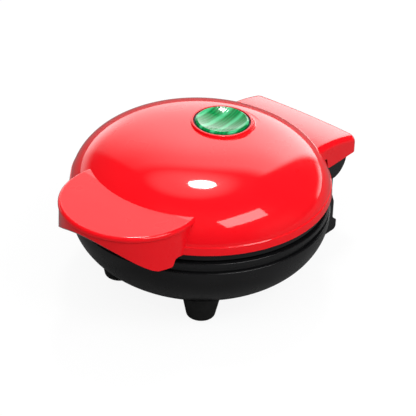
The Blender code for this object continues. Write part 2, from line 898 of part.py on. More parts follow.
def build_shield(name, side, look):
    wide = body_radius + 2 * seat_gap
    flange = [
        (0.0, shield_far),
        (wide - shield_taper, shield_far),
        (wide + shield_sheet, plate_back + shield_sheet),
        (wide + shield_sheet, shield_rim + shield_sheet),
        (wide + shield_flange, shield_rim + shield_sheet),
        (wide + shield_flange, shield_rim),
        (wide, shield_rim),
        (wide, plate_back + seat_gap),
        (wide - shield_taper, shield_near),
        (0.0, shield_near),
    ]
    shield = turned(name, stacked(flange, side), look, steps=shield_steps)
    ends = sorted((parting_plane + side * (shield_near - overrun / 2), parting_plane + side * (shield_far + overrun)))
    holes = rods(name + "_holes", around(boss_ring_radius), screw_shank + screw_hole_gap, *ends, steps=screw_steps)
    combine(shield, holes, "DIFFERENCE")
    legs = [(-element_leg_spread, element_leg_back), (element_leg_spread, element_leg_back)]
    combine(shield, rods(name + "_leg_holes", legs, element_radius + 2 * seat_gap, *ends), "DIFFERENCE")


def build_base_shell(look):
    outline = bowl_outline(bowl_radius, bowl_floor_radius, bowl_top, bowl_clearance, bowl_steps)
    profile = [
        (0.0, bowl_top),
        (bowl_radius - bowl_edge_round, bowl_top),
        *[(radius, height - bowl_edge_round if not i else height) for i, (radius, height) in enumerate(outline)],
        (0.0, bowl_clearance),
    ]
    shell = turned("base_shell", profile, look, steps=shell_steps)

    foot_low = rear_pad_proud
    bulge_back = tower_back + tower_bulge
    tower_top = hinge_height - knuckle_radius - knuckle_top_clearance
    side = [
        (tower_front, foot_low, tower_foot_round / 2),
        (tower_foot_back, foot_low, tower_foot_round),
        (tower_foot_back, foot_low + tower_foot_height, tower_foot_round / 2),
        (bulge_back, foot_low + tower_foot_height + tower_foot_slope, 0.0),
        (bulge_back, tower_bulge_low, tower_foot_round),
        (tower_back, tower_bulge_top, tower_foot_round),
        (tower_back, tower_top, 0.0),
        (tower_front, tower_top, 0.0),
    ]
    tower = side_slab("tower_form", rounded(side), -ear_outer, ear_outer)
    combine(shell, tower, "UNION")
    for name, low, high in (("left", -ear_outer, -ear_inner), ("right", ear_inner, ear_outer)):
        ear = rods("ear_" + name, [(hinge_back, hinge_height)], ear_radius, low, high, along="X", steps=ring_steps)
        combine(shell, ear, "UNION")

    inner = bowl_outline(
        bowl_radius - bowl_wall, bowl_floor_radius - bowl_wall, bowl_top, bowl_clearance + bowl_wall, cavity_steps
    )
    cavity_profile = [(0.0, bowl_top + overrun), (inner[0][0], bowl_top + overrun), *inner, (0.0, inner[-1][1])]
    cavity = turned("base_cavity", cavity_profile, None, steps=shell_steps)
    foot_floor = foot_low + tower_wall + rear_pad_depth
    inside = [
        (tower_front + tower_wall, foot_floor),
        (tower_foot_back - tower_wall, foot_floor),
        (tower_foot_back - tower_wall, foot_low + tower_foot_height - tower_wall / 2),
        (bulge_back - tower_wall, foot_low + tower_foot_height + tower_foot_slope - tower_wall / 2),
        (bulge_back - tower_wall, tower_bulge_low),
        (tower_back - tower_wall, tower_bulge_top),
        (tower_back - tower_wall, tower_top - tower_wall),
        (tower_front - overrun, tower_top - tower_wall),
        (tower_front - overrun, tower_bulge_low),
        (tower_front + tower_wall, tower_bulge_low - tower_wall),
    ]
    half = ear_outer - tower_wall
    combine(cavity, side_slab("tower_hollow", inside, -half, half), "UNION")
    shield_under = parting_plane - shield_far - seat_gap
    post_radius = screw_head + screw_hole_gap + screw_boss_wall
    posts = rods("base_posts", around(boss_ring_radius), post_radius, 0.0, shield_under)
    combine(cavity, posts, "DIFFERENCE")
    seats = [(-foot_x, -foot_y), (foot_x, -foot_y)]
    seat = rods("foot_seats", seats, foot_seat_radius, 0.0, bowl_clearance + foot_seat_height)
    combine(cavity, seat, "DIFFERENCE")
    combine(shell, cavity, "DIFFERENCE")

    bore = screw_shank + screw_hole_gap
    sink = screw_head + screw_hole_gap
    sink_top = bowl_clearance + base_screw_sink + screw_head_height
    stepped = [(0.0, bowl_top), (bore, bowl_top), (bore, sink_top), (sink, sink_top), (sink, 0.0), (0.0, 0.0)]
    for i, at in enumerate(around(boss_ring_radius), 1):
        combine(shell, turned(f"base_screw_bore_{i}", stepped, None, at, screw_steps), "DIFFERENCE")
    stems = rods("stem_holes", seats, foot_stem_radius + seat_gap, 0.0, bowl_top, steps=foot_steps)
    combine(shell, stems, "DIFFERENCE")
    bores = rods(
        "pin_bores",
        [(hinge_back, hinge_height)],
        pin_radius + running_gap,
        -lid_radius,
        lid_radius,
        along="X",
        steps=pin_steps,
    )
    combine(shell, bores, "DIFFERENCE")
    pad_middle = (tower_front + tower_foot_back) / 2
    pads = [(-rear_pad_x, pad_middle), (rear_pad_x, pad_middle)]
    recess = rods(
        "pad_recesses", pads, rear_pad_radius + seat_gap, -overrun, foot_low + rear_pad_depth + seat_gap
    )
    combine(shell, recess, "DIFFERENCE")
    inlet = rods(
        "inlet_hole",
        [(0.0, gland_height)],
        gland_bore + gland_wall + seat_gap,
        bulge_back - 2 * tower_wall,
        bulge_back + overrun,
        along="Y",
    )
    combine(shell, inlet, "DIFFERENCE")


def build_feet(look):
    seat_top = bowl_clearance + foot_seat_height
    bulb_low = seat_top + seat_gap
    body_top = seat_top - seat_gap
    profile = [
        (0.0, bulb_low + foot_bulb_height),
        (foot_stem_radius, bulb_low + foot_bulb_height),
        (foot_bulb_radius, bulb_low),
        (foot_stem_radius, bulb_low),
        (foot_stem_radius, body_top),
        (foot_top_radius, body_top),
        (foot_low_radius, foot_edge_round),
        (foot_low_radius - foot_edge_round * (1 - math.sin(45 * deg)), foot_edge_round * (1 - math.sin(45 * deg))),
        (foot_low_radius - foot_edge_round, 0.0),
        (0.0, 0.0),
    ]
    hull = bowl_outline(
        bowl_radius + seat_gap, bowl_floor_radius, bowl_top, bowl_clearance - seat_gap, bowl_steps
    )
    shape = [(0.0, bowl_top), *hull, (0.0, hull[-1][1])]
    for name, x in (("left", -foot_x), ("right", foot_x)):
        foot = turned("front_foot_" + name, profile, look, (x, -foot_y), foot_steps)
        seat = turned("foot_bowl_" + name, shape, None, steps=shell_steps)
        stem = rods(
            "stem_keep_" + name, [(x, -foot_y)], foot_stem_radius + seat_gap / 2, 0.0, bowl_top + overrun, steps=foot_steps
        )
        combine(seat, stem, "DIFFERENCE")
        combine(foot, seat, "DIFFERENCE")
    pad_middle = (tower_front + tower_foot_back) / 2
    pad = [
        (0.0, rear_pad_proud + rear_pad_depth),
        (rear_pad_radius, rear_pad_proud + rear_pad_depth),
        (rear_pad_radius, rear_pad_proud / 2),
        (rear_pad_radius - rear_pad_proud / 2, 0.0),
        (0.0, 0.0),
    ]
    for name, x in (("left", -rear_pad_x), ("right", rear_pad_x)):
        turned("rear_foot_pad_" + name, pad, look, (x, pad_middle), small_steps)


def build_screw(name, at, seat, point, side, look):
    """A screw whose head bears at seat and whose shank ends at point. Side 1 enters upwards."""
    crown = screw_head_height / 3
    profile = [
        (0.0, seat - side * screw_head_height),
        (screw_crown_share * screw_head, seat - side * screw_head_height),
        (screw_head, seat - side * (screw_head_height - crown)),
        (screw_head, seat),
        (screw_shank, seat),
        (screw_shank, point - side * screw_shank),
        (screw_shank / 2, point),
        (0.0, point),
    ]
    turned(name, profile[::-1] if side > 0 else profile, look, at, screw_steps)


def build_screws(look):
    shield_top = parting_plane + shield_far + seat_gap
    shield_under = parting_plane - shield_far
    base_seat = bowl_clearance + base_screw_sink + screw_head_height - seat_gap
    housing_seat = lid_band_low + housing_screw_sink + screw_head_height - seat_gap
    for i, at in enumerate(around(boss_ring_radius), 1):
        build_screw(f"upper_plate_screw_{i}", at, shield_top, parting_plane + plate_back + screw_end_room, -1, look)
        build_screw(f"base_screw_{i}", at, base_seat, shield_under + screw_bite, 1, look)
    for i, at in enumerate(around(housing_screw_ring), 1):
        build_screw(f"lid_housing_screw_{i}", at, housing_seat, lid_boss_low + screw_bite, 1, look)


def build_electrics(looks):
    under = parting_plane - shield_far - seat_gap
    thermostat = [
        (0.0, under),
        (thermostat_radius, under),
        (thermostat_radius, under - thermostat_height),
        (thermostat_cap_radius, under - thermostat_height),
        (thermostat_cap_radius, under - thermostat_height - thermostat_cap_height),
        (0.0, under - thermostat_height - thermostat_cap_height),
    ]
    spot = [share * ring_bore for share in thermostat_place_share]
    turned("thermostat", thermostat, looks["steel"], spot, small_steps)

    half = fuse_length / 2
    fuse = [
        (0.0, half + fuse_lead_length),
        (fuse_lead_radius, half + fuse_lead_length),
        (fuse_lead_radius, half),
        (fuse_radius, half - fuse_lead_radius),
        (fuse_radius, -half + fuse_lead_radius),
        (fuse_lead_radius, -half),
        (fuse_lead_radius, -half - fuse_lead_length),
        (0.0, -half - fuse_lead_length),
    ]
    spot = [share * ring_bore for share in fuse_place_share]
    body = turned("thermal_fuse", fuse, looks["steel"], spot, screw_steps)
    body.location.z = under - fuse_radius
    body.rotation_euler = (0.0, 90 * deg, 0.0)

    floor = bowl_clearance + bowl_wall + seat_gap
    terminal = block(
        "terminal_block",
        (-terminal_size_x / 2, terminal_back - terminal_size_y, floor),
        (terminal_size_x / 2, terminal_back, floor + terminal_size_z),
        looks["ceramic"],
    )
    edges = terminal.modifiers.new("edges", "BEVEL")
    edges.width = terminal_round
    edges.segments = 1
    clamps = [(share * terminal_size_x, floor + terminal_size_z / 2) for share in terminal_clamp_share]
    wires = rods(
        "terminal_holes",
        clamps,
        terminal_hole_radius,
        terminal_back - terminal_size_y - overrun,
        terminal_back + overrun,
        steps=screw_steps,
        along="Y",
    )
    combine(terminal, wires, "DIFFERENCE")

    wall_face = tower_back + tower_bulge
    outer = gland_bore + gland_wall
    gland = [
        (gland_bore, gland_flange_depth + seat_gap),
        (outer + gland_flange, gland_flange_depth + seat_gap),
        (outer + gland_flange, seat_gap),
        (outer, seat_gap),
        (outer, -gland_reach),
        (gland_bore, -gland_reach),
    ]
    bush = turned("cord_inlet_bush", gland, looks["rubber"], (0.0, wall_face), small_steps)
    bush.location.z = gland_height
    bush.rotation_euler = (-90 * deg, 0.0, 0.0)


def build_pin(look):
    length = ear_outer - seat_gap
    rods("hinge_pin", [(hinge_back, hinge_height)], pin_radius, -length, length, look, pin_steps, "X")


def build():
    clear_scene()
    looks = {
        "red": finish("gloss_red", (0.80, 0.02, 0.03), 0.08),
        "black": finish("satin_black", (0.018, 0.018, 0.019), 0.35),
        "green": finish("green_lens", (0.03, 0.42, 0.16), 0.12, transmission=0.4),
        "glass": finish("lamp_glass", (0.9, 0.85, 0.8), 0.05, transmission=0.9),
        "plate": finish("nonstick_plate", (0.045, 0.045, 0.048), 0.45, 0.6),
        "steel": finish("plated_steel", (0.62, 0.62, 0.63), 0.3, 1.0),
        "element": finish("element_sheath", (0.25, 0.25, 0.26), 0.5, 1.0),
        "rubber": finish("black_rubber", (0.02, 0.02, 0.02), 0.7),
        "ceramic": finish("terminal_ceramic", (0.82, 0.80, 0.74), 0.5),
    }
    build_lid_shell(looks["red"])
    build_indicator(looks)
    build_lid_housing(looks["black"])
    build_base_ring(looks["black"])
    build_plate("upper_waffle_plate", 1, looks["plate"])
    build_plate("lower_waffle_plate", -1, looks["plate"])
    build_element("upper_heating_element", 1, looks["element"])
    build_element("lower_heating_element", -1, looks["element"])
    build_shield("upper_heat_shield", 1, looks["steel"])
    build_shield("lower_heat_shield", -1, looks["steel"])
    build_base_shell(looks["black"])
    build_feet(looks["rubber"])
    build_screws(looks["steel"])
    build_electrics(looks)
    build_pin(looks["steel"])
    for item in parts.objects:
        if any(modifier.type == "BOOLEAN" for modifier in item.modifiers):
            merge_flats(item)


build()
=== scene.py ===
import json
import math

import bmesh
import bpy
from mathutils import Matrix, Vector


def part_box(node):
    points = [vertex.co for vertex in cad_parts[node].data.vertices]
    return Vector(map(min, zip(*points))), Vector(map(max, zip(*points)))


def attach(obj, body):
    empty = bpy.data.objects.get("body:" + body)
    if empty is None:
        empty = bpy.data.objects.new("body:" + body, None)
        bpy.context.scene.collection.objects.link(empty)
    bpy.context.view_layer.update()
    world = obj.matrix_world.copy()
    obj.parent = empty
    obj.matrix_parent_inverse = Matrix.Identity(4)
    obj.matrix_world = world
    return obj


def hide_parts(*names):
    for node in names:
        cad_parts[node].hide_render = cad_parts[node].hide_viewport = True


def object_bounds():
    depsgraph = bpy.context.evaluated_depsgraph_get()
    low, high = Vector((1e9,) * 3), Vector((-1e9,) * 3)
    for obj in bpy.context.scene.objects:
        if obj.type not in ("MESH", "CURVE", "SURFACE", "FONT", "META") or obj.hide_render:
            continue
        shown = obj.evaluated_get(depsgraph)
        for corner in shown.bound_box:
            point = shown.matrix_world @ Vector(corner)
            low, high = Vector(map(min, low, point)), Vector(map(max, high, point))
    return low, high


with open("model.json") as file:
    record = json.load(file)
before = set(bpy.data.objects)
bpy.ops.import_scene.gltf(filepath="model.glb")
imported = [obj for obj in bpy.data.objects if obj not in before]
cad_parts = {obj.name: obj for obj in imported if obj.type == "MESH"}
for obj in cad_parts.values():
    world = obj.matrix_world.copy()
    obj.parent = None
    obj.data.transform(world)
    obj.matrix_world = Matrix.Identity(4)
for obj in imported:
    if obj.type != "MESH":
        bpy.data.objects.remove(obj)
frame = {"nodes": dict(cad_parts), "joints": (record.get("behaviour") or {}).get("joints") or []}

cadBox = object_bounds()
scene = bpy.context.scene
mm = 0.001
turnSteps = 192   # facets round a big turned piece
smallSteps = 64   # and round a small one


# camera, the photograph's own view
view = {"azimuth": 37.55, "elevation": 32.17, "roll": 2.45, "distance": 1175.5, "focal": 218.2,
        "aimHeight": 34.28, "aimSide": 3.76}
turned = math.radians(view["azimuth"])
toEye = Vector((math.sin(turned), -math.cos(turned), 0.0))
toRight = Vector((math.cos(turned), math.sin(turned), 0.0))


def makeCamera():
    lift = math.radians(view["elevation"])
    back = toEye * math.cos(lift) + Vector((0, 0, math.sin(lift)))
    aim = Vector((0.0, 0.0, view["aimHeight"] * mm)) + toRight * view["aimSide"] * mm
    stand = Matrix((toRight, back.cross(toRight), back)).transposed().to_4x4()
    eye = bpy.data.objects.new("camera", bpy.data.cameras.new("camera"))
    scene.collection.objects.link(eye)
    turn = Matrix.Rotation(math.radians(view["roll"]), 4, "Z")
    eye.matrix_world = Matrix.Translation(aim + back * view["distance"] * mm) @ stand @ turn
    eye.data.sensor_width = 36
    eye.data.lens = view["focal"]
    eye.data.clip_start, eye.data.clip_end = 0.05, 20
    scene.camera = eye


# mesh helpers: every one takes millimetres and gives a closed body
def keep(name, shape):
    bmesh.ops.recalc_face_normals(shape, faces=shape.faces)
    mesh = bpy.data.meshes.new(name)
    shape.to_mesh(mesh)
    shape.free()
    made = bpy.data.objects.new(name, mesh)
    scene.collection.objects.link(made)
    return made


# spins (radius, height) points about a vertical axis
def lathe(name, profile, centre=(0.0, 0.0), steps=turnSteps):
    shape = bmesh.new()
    x, y = centre[0] * mm, centre[1] * mm
    verts = [shape.verts.new((x + r * mm, y, z * mm)) for r, z in profile]
    edges = [shape.edges.new(pair) for pair in zip(verts, verts[1:])]
    if profile[0][0] > 0:
        edges.append(shape.edges.new((verts[-1], verts[0])))
    bmesh.ops.spin(shape, geom=verts + edges, cent=(x, y, 0), axis=(0, 0, 1), angle=math.tau,
                   steps=steps, use_merge=True)
    bmesh.ops.remove_doubles(shape, verts=shape.verts, dist=1e-7)
    bmesh.ops.dissolve_degenerate(shape, edges=shape.edges, dist=1e-8)
    return keep(name, shape)


# turns a piece made upright so that it lies along Y through a point
def lay(piece, at):
    turn = Matrix.Rotation(-math.pi / 2, 4, "X")
    piece.data.transform(Matrix.Translation(Vector(at) * mm) @ turn)
    return piece


# pushes a (y, z) outline along X
def slab(name, outline, low, high):
    shape = bmesh.new()
    face = shape.faces.new([shape.verts.new((low * mm, y * mm, z * mm)) for y, z in outline])
    pushed = bmesh.ops.extrude_face_region(shape, geom=[face])["geom"]
    ends = [v for v in pushed if isinstance(v, bmesh.types.BMVert)]
    bmesh.ops.translate(shape, verts=ends, vec=((high - low) * mm, 0, 0))
    return keep(name, shape)


# cylinders of one size; along X the places are (y, z)
def rods(name, places, radius, low, high, along="Z", steps=smallSteps):
    shape = bmesh.new()
    for u, v in places:
        middle = (low + high) / 2
        if along == "Z":
            stand = Matrix.Translation(Vector((u, v, middle)) * mm)
        else:
            stand = Matrix.Translation(Vector((middle, u, v)) * mm) @ Matrix.Rotation(math.pi / 2, 4, "Y")
        bmesh.ops.create_cone(shape, cap_ends=True, segments=steps, radius1=radius * mm,
                              radius2=radius * mm, depth=(high - low) * mm, matrix=stand)
    return keep(name, shape)


def block(name, low, high):
    shape = bmesh.new()
    a, b = Vector(low) * mm, Vector(high) * mm
    stand = Matrix.Translation((a + b) / 2) @ Matrix.Diagonal((*(b - a), 1))
    bmesh.ops.create_cube(shape, size=1, matrix=stand)
    return keep(name, shape)


# corners (u, v, radius) of an outline, each radius turned into an arc
def rounded(corners, steps=8):
    outline = []
    for i, (u, v, radius) in enumerate(corners):
        here = Vector((u, v))
        if radius <= 0:
            outline.append((u, v))
            continue
        before = (Vector(corners[i - 1][:2]) - here).normalized()
        after = (Vector(corners[(i + 1) % len(corners)][:2]) - here).normalized()
        half = before.angle(after) / 2
        centre = here + (before + after).normalized() * (radius / math.sin(half))
        first = here + before * (radius / math.tan(half)) - centre
        last = here + after * (radius / math.tan(half)) - centre
        for step in range(steps + 1):
            outline.append(tuple(centre + first.lerp(last, step / steps).normalized() * radius))
    return outline


# puts the evaluated mesh in place of the modifiers
def solid(piece):
    seen = piece.evaluated_get(bpy.context.evaluated_depsgraph_get())
    mesh = bpy.data.meshes.new_from_object(seen)
    piece.modifiers.clear()
    piece.data = mesh
    return piece


def combine(target, operation, *others):
    for other in others:
        step = target.modifiers.new("step", "BOOLEAN")
        step.operation = operation
        step.solver = "EXACT"
        step.object = other
    solid(target)
    for other in others:
        bpy.data.objects.remove(other, do_unlink=True)
    return target


# shading, material and the frame's calls for a piece that stands for CAD nodes
def dress(piece, look, body, slot, *nodes, crease=32):
    piece.data.shade_smooth()
    piece.data.set_sharp_from_angle(angle=math.radians(crease))
    even = piece.modifiers.new("even", "WEIGHTED_NORMAL")
    even.keep_sharp = True
    even.weight = 100
    piece.data.materials.clear()
    piece.data.materials.append(look)
    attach(piece, body)
    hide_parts(*nodes)
    return piece


# material helpers
def newLook(name, color, roughness, **sockets):
    look = bpy.data.materials.new(name)
    look.use_nodes = True
    shader = look.node_tree.nodes["Principled BSDF"]
    shader.inputs["Base Color"].default_value = (*color, 1)
    shader.inputs["Roughness"].default_value = roughness
    for socket, value in sockets.items():
        shader.inputs[socket.replace("_", " ")].default_value = value
    return look, look.node_tree, shader


def addNode(tree, kind, **values):
    node = tree.nodes.new("ShaderNode" + kind)
    for key, value in values.items():
        if key in node.inputs:
            node.inputs[key].default_value = value
        else:
            setattr(node, key, value)
    return node


# moulded surface texture from noise, as bump
def grain(tree, shader, scale, height, detail=4.0):
    place = addNode(tree, "TexCoord")
    noise = addNode(tree, "TexNoise", Scale=scale, Detail=detail, Roughness=0.6)
    bump = addNode(tree, "Bump", Strength=1.0, Distance=height)
    tree.links.new(place.outputs["Object"], noise.inputs["Vector"])
    tree.links.new(noise.outputs["Fac"], bump.inputs["Height"])
    tree.links.new(bump.outputs["Normal"], shader.inputs["Normal"])
    return place


# a slow change of one value over the surface
def vary(tree, shader, place, socket, scale, low, high):
    noise = addNode(tree, "TexNoise", Scale=scale, Detail=3.0)
    reach = addNode(tree, "MapRange")
    reach.inputs["From Min"].default_value, reach.inputs["From Max"].default_value = 0.3, 0.7
    reach.inputs["To Min"].default_value, reach.inputs["To Max"].default_value = low, high
    tree.links.new(place.outputs["Object"], noise.inputs["Vector"])
    tree.links.new(noise.outputs["Fac"], reach.inputs["Value"])
    tree.links.new(reach.outputs["Result"], shader.inputs[socket])


# a mix of two colours by any factor, sent to the base colour
def blendColors(tree, factor, first, second, target):
    mix = addNode(tree, "Mix", data_type="RGBA")
    colors = [socket for socket in mix.inputs if socket.type == "RGBA"]
    for socket, value in zip(colors, (first, second)):
        if isinstance(value, tuple):
            socket.default_value = (*value, 1)
        else:
            tree.links.new(value, socket)
    tree.links.new(factor, mix.inputs["Factor"])
    result = [socket for socket in mix.outputs if socket.type == "RGBA"][0]
    if target:
        tree.links.new(result, target)
    return result


def tint(tree, shader, place, scale, first, second):
    noise = addNode(tree, "TexNoise", Scale=scale, Detail=3.0)
    tree.links.new(place.outputs["Object"], noise.inputs["Vector"])
    blendColors(tree, noise.outputs["Fac"], first, second, shader.inputs["Base Color"])


redPlastic = {"color": (0.83, 0.004, 0.010), "deep": (0.77, 0.003, 0.008), "rough": 0.3, "peel": 260,
              "peelHeight": 0.000008}


# the tab's top gets a copy of the red with less coat, which dims its reflection: painted shade, a shaded
# copy of the material that stands in for how the light falls on the top; the tab's top gets less coat,
# which makes it as dim as in the photograph; the reason is a guess
def makeRed(name, coat):
    look, tree, shader = newLook(name, redPlastic["color"], redPlastic["rough"], Coat_Weight=coat,
                                 Coat_Roughness=0.055, Coat_IOR=1.5, Specular_IOR_Level=0.05)
    place = grain(tree, shader, redPlastic["peel"], redPlastic["peelHeight"], 2.0)
    tint(tree, shader, place, 35, redPlastic["color"], redPlastic["deep"])
    vary(tree, shader, place, "Roughness", 60, redPlastic["rough"] - 0.04, redPlastic["rough"] + 0.04)
    return look


blackPlastic = {"color": (0.004, 0.004, 0.0044), "pale": (0.007, 0.007, 0.0075), "rough": 0.24,
                "grain": 2400, "grainHeight": 0.00002}


def makeBlack():
    look, tree, shader = newLook("satin black housing", blackPlastic["color"], blackPlastic["rough"])
    place = grain(tree, shader, blackPlastic["grain"], blackPlastic["grainHeight"])
    tint(tree, shader, place, 90, blackPlastic["color"], blackPlastic["pale"])
    rough = blackPlastic["rough"]
    vary(tree, shader, place, "Roughness", 140, rough - 0.04, rough + 0.05)
    return look


def makeRubber():
    look, tree, shader = newLook("matt rubber", (0.006, 0.006, 0.006), 0.5)
    place = grain(tree, shader, 1800, 0.00003)
    tint(tree, shader, place, 200, (0.005, 0.005, 0.005), (0.010, 0.0095, 0.009))
    vary(tree, shader, place, "Roughness", 300, 0.44, 0.62)
    return look


def makeNonstick():
    look, tree, shader = newLook("non-stick coating", (0.03, 0.03, 0.032), 0.4, Metallic=0.15)
    place = grain(tree, shader, 3200, 0.00003)
    tint(tree, shader, place, 120, (0.024, 0.024, 0.026), (0.042, 0.041, 0.042))
    vary(tree, shader, place, "Roughness", 220, 0.3, 0.48)
    return look


def makeSteel(name, color, rough):
    look, tree, shader = newLook(name, color, rough, Metallic=1.0)
    place = grain(tree, shader, 900, 0.00001)
    tint(tree, shader, place, 150, color, tuple(c * 0.8 for c in color))
    vary(tree, shader, place, "Roughness", 260, rough - 0.06, rough + 0.1)
    return look


def makeCream():
    look, tree, shader = newLook("cream moulding", (0.74, 0.70, 0.60), 0.45)
    place = grain(tree, shader, 1500, 0.00002)
    tint(tree, shader, place, 130, (0.74, 0.70, 0.60), (0.66, 0.62, 0.52))
    vary(tree, shader, place, "Roughness", 200, 0.38, 0.52)
    return look


def makeLampGlass():
    look, tree, shader = newLook("lamp glass", (0.95, 0.86, 0.72), 0.06,
                                 Transmission_Weight=0.85, IOR=1.45)
    place = grain(tree, shader, 500, 0.00001)
    vary(tree, shader, place, "Roughness", 90, 0.04, 0.12)
    return look


# the streak colour is a painted highlight of the lens ridges; deep and bright also paint the fine ridges'
# shade and light
greenLens = {"deep": (0.0, 0.15, 0.035), "bright": (0.003, 0.27, 0.065), "glintStreak": (0.05, 0.46, 0.19),
             "broad": 46, "fine": 210, "ripple": 0.00003}


# moulded ridges run from front to back under the lens, and their light is painted into the colour: broad
# streaks of painted highlight along the ridges, with fine lines between them that are bumped as real
# ridges and painted lighter and darker green as their highlight and shade
def makeGreen():
    look, tree, shader = newLook("green lens", greenLens["bright"], 0.2, Coat_Weight=0.8,
                                 Coat_Roughness=0.05, Coat_IOR=1.45, Specular_IOR_Level=0.1)
    place = addNode(tree, "TexCoord")
    broad = addNode(tree, "TexWave", Scale=greenLens["broad"], Distortion=1.2, Detail=2.0)
    broad.inputs["Detail Scale"].default_value = 1.2
    fine = addNode(tree, "TexWave", Scale=greenLens["fine"], Distortion=1.0, Detail=2.0)
    fine.inputs["Detail Scale"].default_value = 2.0
    for wave in (broad, fine):
        wave.bands_direction = "X"
        tree.links.new(place.outputs["Object"], wave.inputs["Vector"])
    glintMask = addNode(tree, "MapRange")
    glintMask.interpolation_type = "SMOOTHSTEP"
    glintMask.inputs["From Min"].default_value, glintMask.inputs["From Max"].default_value = 0.62, 1.0
    tree.links.new(broad.outputs["Fac"], glintMask.inputs["Value"])
    base = blendColors(tree, fine.outputs["Fac"], greenLens["deep"], greenLens["bright"], None)
    blendColors(tree, glintMask.outputs["Result"], base, greenLens["glintStreak"], shader.inputs["Base Color"])
    bump = addNode(tree, "Bump", Strength=0.6, Distance=greenLens["ripple"])
    tree.links.new(fine.outputs["Fac"], bump.inputs["Height"])
    tree.links.new(bump.outputs["Normal"], shader.inputs["Normal"])
    tree.links.new(bump.outputs["Normal"], shader.inputs["Coat Normal"])
    return look


# levels of the stack that several pieces share
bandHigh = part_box("base_rim_ring")[1] / mm
pinAt = Vector(frame["joints"][0]["pos_m"]) / mm
lidRadius = (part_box("lid_shell")[1] / mm).x
partingGap = 1.1
parting = bandHigh.z + partingGap / 2
rimLow = bandHigh.z + partingGap + 3.5
screwRing, bossRing = 55.2, 24.5
screwHole, screwSink, pinBore = 1.9, 3.2, 2.06   # radii


def around(radius):
    turns = (-math.pi / 2, math.pi / 6, 5 * math.pi / 6)
    return [(radius * math.cos(t), radius * math.sin(t)) for t in turns]


lid = {"inset": 0.4, "rise": 27.2, "planShare": 2.8, "riseShare": 2.05, "wall": 2.2,
       "pocket": 3.5, "bore": 59.5}
handle = {"radius": 32.4, "centre": -51.0, "top": 15.5, "tip": 3.6, "knee": 14.0, "heel": 7.0,
          "rim": 5.4, "swell": 1.35,
          "kneeDrop": 3.4, "lip": 2.2, "lipProud": 0.45, "edge": 1.5, "wall": 2.0, "roof": 2.1}
hood = {"half": 30.2, "front": 56.0, "back": 83.4, "top": 7.9, "drop": 5.4, "dropShare": 1.6, "bow": 1.2,
        "round": 3.3, "wall": 1.7, "flank": 5.6, "backEdge": 4.2}
lens = {"y": 14.0, "radius": 12.4, "crown": 0.8, "dish": 2.3, "depth": 6.0,
        "wall": 1.2, "thick": 3.4, "ring": 0.4, "gap": 0.3, "flange": 2.2, "hole": 10.0}
collar = {"width": 1.2, "flare": 4.6, "edge": 0.35}
collarTop = rimLow + lid["rise"] + 1.1


def domeOutline(radius, rise, lowest, steps):
    last = math.asin((lowest / rise) ** (lid["riseShare"] / 2))
    outline = [(0.0, rimLow + rise)]
    for step in range(1, steps + 1):
        t = math.pi / 2 + (last - math.pi / 2) * (step / steps)
        outline.append((radius * math.cos(t) ** (2 / lid["planShare"]),
                        rimLow + rise * math.sin(t) ** (2 / lid["riseShare"])))
    return outline


def hoodLoft(name, half, back, drop, low, corner):
    stations = [0.0] + [0.3 + 0.7 * i / 24 for i in range(24)]
    front = hood["front"] - 12
    stops = [(front + (back - corner - front) * share, 0.0) for share in stations]
    for step in range(9):
        t = math.radians(10 * step)
        stops.append((back - corner * (1 - math.sin(t)), corner * (1 - math.cos(t))))
    shape = bmesh.new()
    rows = []
    for y, inset in stops:
        share = max(y - hood["front"], 0) / (hood["back"] - hood["front"])
        fall = hood["drop"] * share ** hood["dropShare"]
        top, wide = rimLow + hood["top"] - fall - drop - inset, half - inset
        ridge = [(-wide + corner * (1 - math.cos(t)), top - corner * (1 - math.sin(t)))
                 for t in [math.pi / 2 * k / 8 for k in range(9)]]
        flat = wide - corner
        ridge += [(-flat + flat * k / 8, top) for k in range(1, 8)]
        ridge += [(0.0, top)] + [(-x, z) for x, z in ridge[::-1]]
        bow = hood["bow"] * (y - front) / (back - front)
        section = ridge + [(x, low) for x, z in ridge[::-1]]
        rows.append([shape.verts.new(Vector((x, y - bow * (x / half) ** 2, z)) * mm) for x, z in section])
    count = len(rows[0])
    for row, following in zip(rows, rows[1:]):
        for i in range(count):
            j = (i + 1) % count
            shape.faces.new((row[i], row[j], following[j], following[i]))
    for row in (rows[0], rows[-1]):
        for i in range(count // 2 - 1):
            shape.faces.new((row[i], row[i + 1], row[-i - 2], row[-i - 1]))
    return keep(name, shape)


# the tab's underside, which swells a little below a straight line from the knee to the tip
def handleUnder(y):
    tip, knee = rimLow + handle["top"] - handle["tip"], rimLow - handle["kneeDrop"]
    share = (handle["centre"] - handle["knee"] - y) / (handle["radius"] - handle["knee"])
    return knee + (tip - knee) * max(share, 0) ** handle["swell"]


